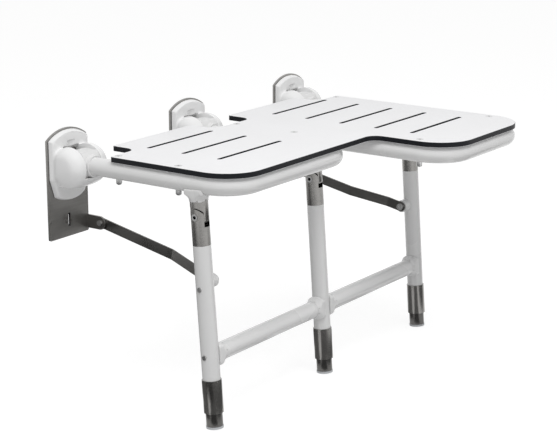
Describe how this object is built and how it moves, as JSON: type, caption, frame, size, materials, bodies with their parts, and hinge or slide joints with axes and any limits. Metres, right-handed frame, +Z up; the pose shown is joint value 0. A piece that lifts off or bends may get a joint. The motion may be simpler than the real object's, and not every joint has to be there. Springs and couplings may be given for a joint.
{
  "type": "fold down wall seat",
  "caption": "Fold down wall seat with a slotted panel and forward wing on bent tubes, hinged to wall plates, with folding legs held by side links.",
  "frame": {"origin": "on the wall plane, at the middle of the middle wall plate's screw holes, level with the fold axis", "axes": "+X along the wall towards the wing, the seat reaches out along -Y, +Z up"},
  "size_m": [0.828, 0.584, 0.517],
  "materials": {
    "panel": "satin",
    "cover": "satin",
    "white_tube": "gloss",
    "white_casting": "satin",
    "stainless": "brushed",
    "foot_rubber": "matte"
  },
  "bodies": {
    "wall": {"wall_plate_left": "stainless", "wall_plate_middle": "stainless", "wall_plate_right": "stainless", "hinge_lugs_left": "stainless", "hinge_lugs_middle": "stainless", "hinge_lugs_right": "stainless", "hinge_pins": "stainless", "hinge_cover_left": "cover", "hinge_cover_middle": "cover", "hinge_cover_right": "cover", "link_wall_bolts": "stainless"},
    "seat": {"seat_panel": "panel", "seat_frame_left": "white_tube", "seat_frame_right": "white_tube", "hinge_knuckle_left": "white_casting", "hinge_knuckle_middle": "white_casting", "hinge_knuckle_right": "white_casting", "panel_screws": "stainless", "panel_cap_nuts": "stainless", "leg_collar_left": "white_casting", "leg_collar_middle": "white_casting", "leg_collar_right": "white_casting", "leg_tongue_left": "stainless", "leg_tongue_middle": "stainless", "leg_tongue_right": "stainless"},
    "leg_frame": {"leg_clevis_left": "stainless", "leg_clevis_middle": "stainless", "leg_clevis_right": "stainless", "leg_pivot_bolts": "stainless", "leg_tube_left": "white_tube", "leg_tube_middle": "white_tube", "leg_tube_right": "white_tube", "leg_sleeve_left": "stainless", "leg_sleeve_middle": "stainless", "leg_sleeve_right": "stainless", "cross_bar_left": "white_tube", "cross_bar_right": "white_tube", "cross_collar_left": "white_casting", "cross_collar_middle_left": "white_casting", "cross_collar_middle_right": "white_casting", "cross_collar_right": "white_casting", "link_boss_left": "white_casting", "link_boss_right": "white_casting", "link_leg_bolts": "stainless", "leg_side_screws": "stainless"},
    "link_left": {"link_left": "stainless"},
    "link_right": {"link_right": "stainless"},
    "foot_left": {"foot_tube_left": "stainless", "foot_cap_left": "foot_rubber"},
    "foot_middle": {"foot_tube_middle": "stainless", "foot_cap_middle": "foot_rubber"},
    "foot_right": {"foot_tube_right": "stainless", "foot_cap_right": "foot_rubber"}
  },
  "joints": [
    {"name": "seat_fold", "type": "hinge", "parent": "wall", "child": "seat", "pos_m": [0, -0.032, 0], "axis": [-1, 0, 0], "range_deg": [0, 90]},
    {"name": "leg_swing", "type": "hinge", "parent": "seat", "child": "leg_frame", "pos_m": [0, -0.316, -0.058], "axis": [-1, 0, 0], "range_deg": [-90, 0]},
    {"name": "link_left_swing", "type": "hinge", "parent": "wall", "child": "link_left", "pos_m": [-0.304, -0.035, -0.125], "axis": [-1, 0, 0], "range_deg": [0, 90]},
    {"name": "link_right_swing", "type": "hinge", "parent": "wall", "child": "link_right", "pos_m": [0.304, -0.035, -0.125], "axis": [-1, 0, 0], "range_deg": [0, 90]},
    {"name": "foot_left_slide", "type": "slide", "parent": "leg_frame", "child": "foot_left", "axis": [0, 0.0732, 0.9973], "range_m": [0, 0.02]},
    {"name": "foot_middle_slide", "type": "slide", "parent": "leg_frame", "child": "foot_middle", "axis": [0, 0.0732, 0.9973], "range_m": [0, 0.02]},
    {"name": "foot_right_slide", "type": "slide", "parent": "leg_frame", "child": "foot_right", "axis": [0, 0.0732, 0.9973], "range_m": [0, 0.02]}
  ],
  "couplings": [
    {"joint": "leg_swing", "follows": "seat_fold", "ratio": -1},
    {"joint": "link_left_swing", "follows": "seat_fold", "ratio": 1},
    {"joint": "link_right_swing", "follows": "seat_fold", "ratio": 1}
  ]
}
